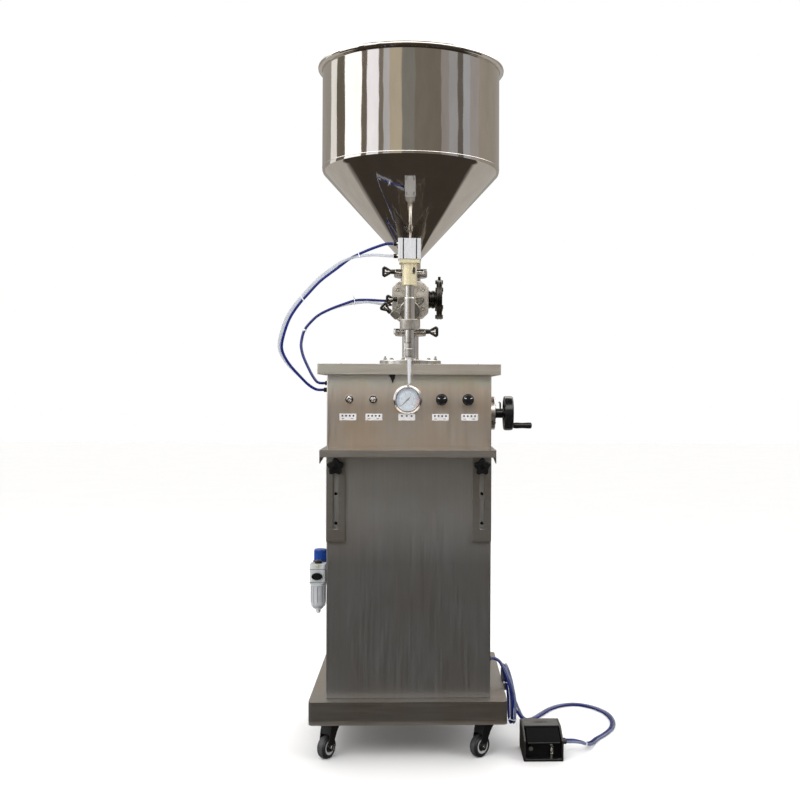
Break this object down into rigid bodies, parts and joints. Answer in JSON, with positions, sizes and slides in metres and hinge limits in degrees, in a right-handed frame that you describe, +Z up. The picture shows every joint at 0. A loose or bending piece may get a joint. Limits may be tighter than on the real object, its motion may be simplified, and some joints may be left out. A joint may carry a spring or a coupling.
{
  "type": "piston liquid filler",
  "caption": "Pneumatic piston liquid filler on a wheeled steel cabinet: top cone hopper, clamped three-way valve, vertical nozzle, bottle shelf, gauge panel, handwheel and foot pedal.",
  "frame": {"origin": "middle of the standing box at floor level, hoses left out", "axes": "+Z up, the operator stands at -Y facing the control panel, the handwheel and the foot pedal are at +X"},
  "size_m": [0.7894, 0.5824, 1.5537],
  "materials": {
    "brushed_stainless": "brushed, vertical grain",
    "dark_brushed_stainless": "brushed, vertical grain",
    "polished_stainless": "mirror polished",
    "cast_stainless": "cast and tumbled",
    "turned_stainless": "turned",
    "chromed_metal": "bright",
    "anodised_aluminium": "satin anodised",
    "machined_brass": "machined, satin",
    "black_plastic": "moulded",
    "blue_plastic": "moulded",
    "clear_plastic": "clear",
    "black_paint": "semi-gloss",
    "black_rubber": "moulded",
    "blue_tube": "extruded",
    "clear_tube": "extruded, translucent"
  },
  "bodies": {
    "machine": {"air_cylinder": "anodised_aluminium", "base_pan": "dark_brushed_stainless", "cabinet_shell": "dark_brushed_stainless", "control_box_shell": "brushed_stainless", "cylinder_clamp": "cast_stainless", "frl_body": "anodised_aluminium", "frl_bowl": "clear_plastic", "gauge_case": "chromed_metal", "handwheel_bearing": "cast_stainless", "hopper": "polished_stainless", "hopper_clamp": "cast_stainless", "nozzle_actuator": "anodised_aluminium", "nozzle_body": "turned_stainless", "nozzle_hose_blue": "blue_tube", "nozzle_hose_clear": "clear_tube", "nozzle_tip": "turned_stainless", "nozzle_yoke": "machined_brass", "outlet_clamp_front": "cast_stainless", "outlet_clamp_rear": "cast_stainless", "outlet_pipe": "turned_stainless", "pedal_hose_blue": "blue_tube", "pedal_hose_clear": "clear_tube", "product_cylinder": "turned_stainless", "rear_panel": "dark_brushed_stainless", "solenoid_block": "anodised_aluminium", "top_cover": "brushed_stainless", "valve_body": "turned_stainless", "valve_end_cap": "cast_stainless", "valve_hose_blue": "blue_tube", "valve_hose_clear": "clear_tube", "pedal_housing": "black_paint"},
    "bottle_shelf": {"bottle_shelf": "brushed_stainless"},
    "caster_fork_front_left": {"caster_fork_front_left": "black_paint"},
    "caster_fork_front_right": {"caster_fork_front_right": "black_paint"},
    "caster_fork_rear_left": {"caster_fork_rear_left": "black_paint"},
    "caster_fork_rear_right": {"caster_fork_rear_right": "black_paint"},
    "caster_wheel_front_left": {"caster_wheel_front_left": "black_rubber"},
    "caster_wheel_front_right": {"caster_wheel_front_right": "black_rubber"},
    "caster_wheel_rear_left": {"caster_wheel_rear_left": "black_rubber"},
    "caster_wheel_rear_right": {"caster_wheel_rear_right": "black_rubber"},
    "cylinder_clamp_wing_nut": {"cylinder_clamp_wing_nut": "cast_stainless"},
    "frl_knob": {"frl_knob": "blue_plastic"},
    "gauge_needle": {"gauge_needle": "black_plastic"},
    "handwheel": {"handwheel": "black_plastic"},
    "handwheel_grip": {"handwheel_grip": "black_plastic"},
    "hopper_clamp_wing_nut": {"hopper_clamp_wing_nut": "cast_stainless"},
    "nozzle_needle": {"nozzle_needle": "turned_stainless"},
    "outlet_clamp_front_wing_nut": {"outlet_clamp_front_wing_nut": "cast_stainless"},
    "outlet_clamp_rear_wing_nut": {"outlet_clamp_rear_wing_nut": "cast_stainless"},
    "pedal_tread": {"pedal_tread": "black_paint"},
    "piston": {"piston": "turned_stainless"},
    "sensor_carriage": {"sensor_carriage": "machined_brass"},
    "shelf_knob_left": {"shelf_knob_left": "black_plastic"},
    "shelf_knob_right": {"shelf_knob_right": "black_plastic"},
    "speed_knob_left": {"speed_knob_left": "black_plastic"},
    "speed_knob_right": {"speed_knob_right": "black_plastic"},
    "stroke_screw": {"stroke_screw": "turned_stainless"},
    "toggle_lever_left": {"toggle_lever_left": "chromed_metal"},
    "toggle_lever_right": {"toggle_lever_right": "chromed_metal"},
    "valve_spool": {"valve_spool": "turned_stainless"}
  },
  "joints": [
    {"name": "caster_swivel_front_left", "type": "hinge", "parent": "machine", "child": "caster_fork_front_left", "pos_m": [-0.23375, -0.0918, 0.0853], "axis": [0, 0, 1], "continuous": true},
    {"name": "caster_roll_front_left", "type": "hinge", "parent": "caster_fork_front_left", "child": "caster_wheel_front_left", "pos_m": [-0.24275, -0.10739, 0.025], "axis": [0.866, -0.5, 0], "continuous": true},
    {"name": "caster_swivel_front_right", "type": "hinge", "parent": "machine", "child": "caster_fork_front_right", "pos_m": [0.10825, -0.0918, 0.0853], "axis": [0, 0, 1], "continuous": true},
    {"name": "caster_roll_front_right", "type": "hinge", "parent": "caster_fork_front_right", "child": "caster_wheel_front_right", "pos_m": [0.09552, -0.10453, 0.025], "axis": [0.7071, -0.7071, 0], "continuous": true},
    {"name": "caster_swivel_rear_left", "type": "hinge", "parent": "machine", "child": "caster_fork_rear_left", "pos_m": [-0.23375, 0.2292, 0.0853], "axis": [0, 0, 1], "continuous": true},
    {"name": "caster_roll_rear_left", "type": "hinge", "parent": "caster_fork_rear_left", "child": "caster_wheel_rear_left", "pos_m": [-0.24754, 0.21763, 0.025], "axis": [0.6428, -0.766, 0], "continuous": true},
    {"name": "caster_swivel_rear_right", "type": "hinge", "parent": "machine", "child": "caster_fork_rear_right", "pos_m": [0.10825, 0.2292, 0.0853], "axis": [0, 0, 1], "continuous": true},
    {"name": "caster_roll_rear_right", "type": "hinge", "parent": "caster_fork_rear_right", "child": "caster_wheel_rear_right", "pos_m": [0.10064, 0.21289, 0.025], "axis": [0.9063, -0.4226, 0], "continuous": true},
    {"name": "shelf_height", "type": "slide", "parent": "machine", "child": "bottle_shelf", "axis": [0, 0, 1], "range_m": [0, 0.06]},
    {"name": "shelf_knob_turn_left", "type": "hinge", "parent": "machine", "child": "shelf_knob_left", "pos_m": [-0.22225, -0.1336, 0.6455], "axis": [0, 1, 0], "range_deg": [0, 720]},
    {"name": "shelf_knob_turn_right", "type": "hinge", "parent": "machine", "child": "shelf_knob_right", "pos_m": [0.09675, -0.1336, 0.6455], "axis": [0, 1, 0], "range_deg": [0, 720]},
    {"name": "toggle_left", "type": "hinge", "parent": "machine", "child": "toggle_lever_left", "pos_m": [-0.19375, -0.1268, 0.791], "axis": [1, 0, 0], "range_deg": [0, 36]},
    {"name": "toggle_right", "type": "hinge", "parent": "machine", "child": "toggle_lever_right", "pos_m": [-0.14175, -0.1268, 0.791], "axis": [1, 0, 0], "range_deg": [-18, 18]},
    {"name": "speed_knob_turn_left", "type": "hinge", "parent": "machine", "child": "speed_knob_left", "pos_m": [0.00785, -0.1238, 0.791], "axis": [0, 1, 0], "range_deg": [0, 1080]},
    {"name": "speed_knob_turn_right", "type": "hinge", "parent": "machine", "child": "speed_knob_right", "pos_m": [0.06605, -0.1238, 0.791], "axis": [0, 1, 0], "range_deg": [0, 1080]},
    {"name": "gauge_needle_turn", "type": "hinge", "parent": "machine", "child": "gauge_needle", "pos_m": [-0.06625, -0.1298, 0.791], "axis": [0, 1, 0], "range_deg": [0, 270]},
    {"name": "handwheel_turn", "type": "hinge", "parent": "machine", "child": "handwheel", "pos_m": [0.11725, -0.0438, 0.76], "axis": [1, 0, 0], "range_deg": [0, 3600]},
    {"name": "stroke_screw_turn", "type": "hinge", "parent": "machine", "child": "stroke_screw", "pos_m": [0.02225, -0.0438, 0.76], "axis": [0, 0, 1], "range_deg": [-3700, 3700]},
    {"name": "sensor_carriage_travel", "type": "slide", "parent": "machine", "child": "sensor_carriage", "axis": [0, 0, 1], "range_m": [-0.101, 0.001]},
    {"name": "grip_spin", "type": "hinge", "parent": "handwheel", "child": "handwheel_grip", "pos_m": [0.17125, -0.0438, 0.7323], "axis": [1, 0, 0], "continuous": true},
    {"name": "pedal_press", "type": "hinge", "parent": "machine", "child": "pedal_tread", "pos_m": [0.23875, -0.0968, 0.0605], "axis": [1, 0, 0], "range_deg": [0, 8], "stiffness_Nm_per_rad": 0.6, "springref_deg": -5.73},
    {"name": "regulator_turn", "type": "hinge", "parent": "machine", "child": "frl_knob", "pos_m": [-0.27075, 0.0362, 0.4054], "axis": [0, 0, 1], "range_deg": [0, 720]},
    {"name": "nozzle_needle_lift", "type": "slide", "parent": "machine", "child": "nozzle_needle", "axis": [0, 0, 1], "range_m": [0, 0.01]},
    {"name": "valve_spool_shift", "type": "slide", "parent": "machine", "child": "valve_spool", "axis": [1, 0, 0], "range_m": [0, 0.013]},
    {"name": "piston_stroke", "type": "slide", "parent": "machine", "child": "piston", "axis": [0, 0, 1], "range_m": [-0.16, 0]},
    {"name": "hopper_clamp_turn", "type": "hinge", "parent": "machine", "child": "hopper_clamp_wing_nut", "pos_m": [-0.09725, -0.0273, 1.0805], "axis": [-1, 0, 0], "range_deg": [0, 1080]},
    {"name": "cylinder_clamp_turn", "type": "hinge", "parent": "machine", "child": "cylinder_clamp_wing_nut", "pos_m": [-0.02825, -0.0248, 0.945], "axis": [1, 0, 0], "range_deg": [0, 1080]},
    {"name": "outlet_clamp_rear_turn", "type": "hinge", "parent": "machine", "child": "outlet_clamp_rear_wing_nut", "pos_m": [-0.09207, -0.0458, 1.01622], "axis": [-1, 0, 0], "range_deg": [0, 1080]},
    {"name": "outlet_clamp_front_turn", "type": "hinge", "parent": "machine", "child": "outlet_clamp_front_wing_nut", "pos_m": [-0.10474, -0.1018, 0.98272], "axis": [-0.7501, 0, 0.6613], "range_deg": [0, 1080]}
  ],
  "couplings": [
    {"joint": "stroke_screw_turn", "follows": "handwheel_turn", "ratio": 1},
    {"joint": "sensor_carriage_travel", "follows": "handwheel_turn", "m_per_rad": -0.0015915}
  ]
}
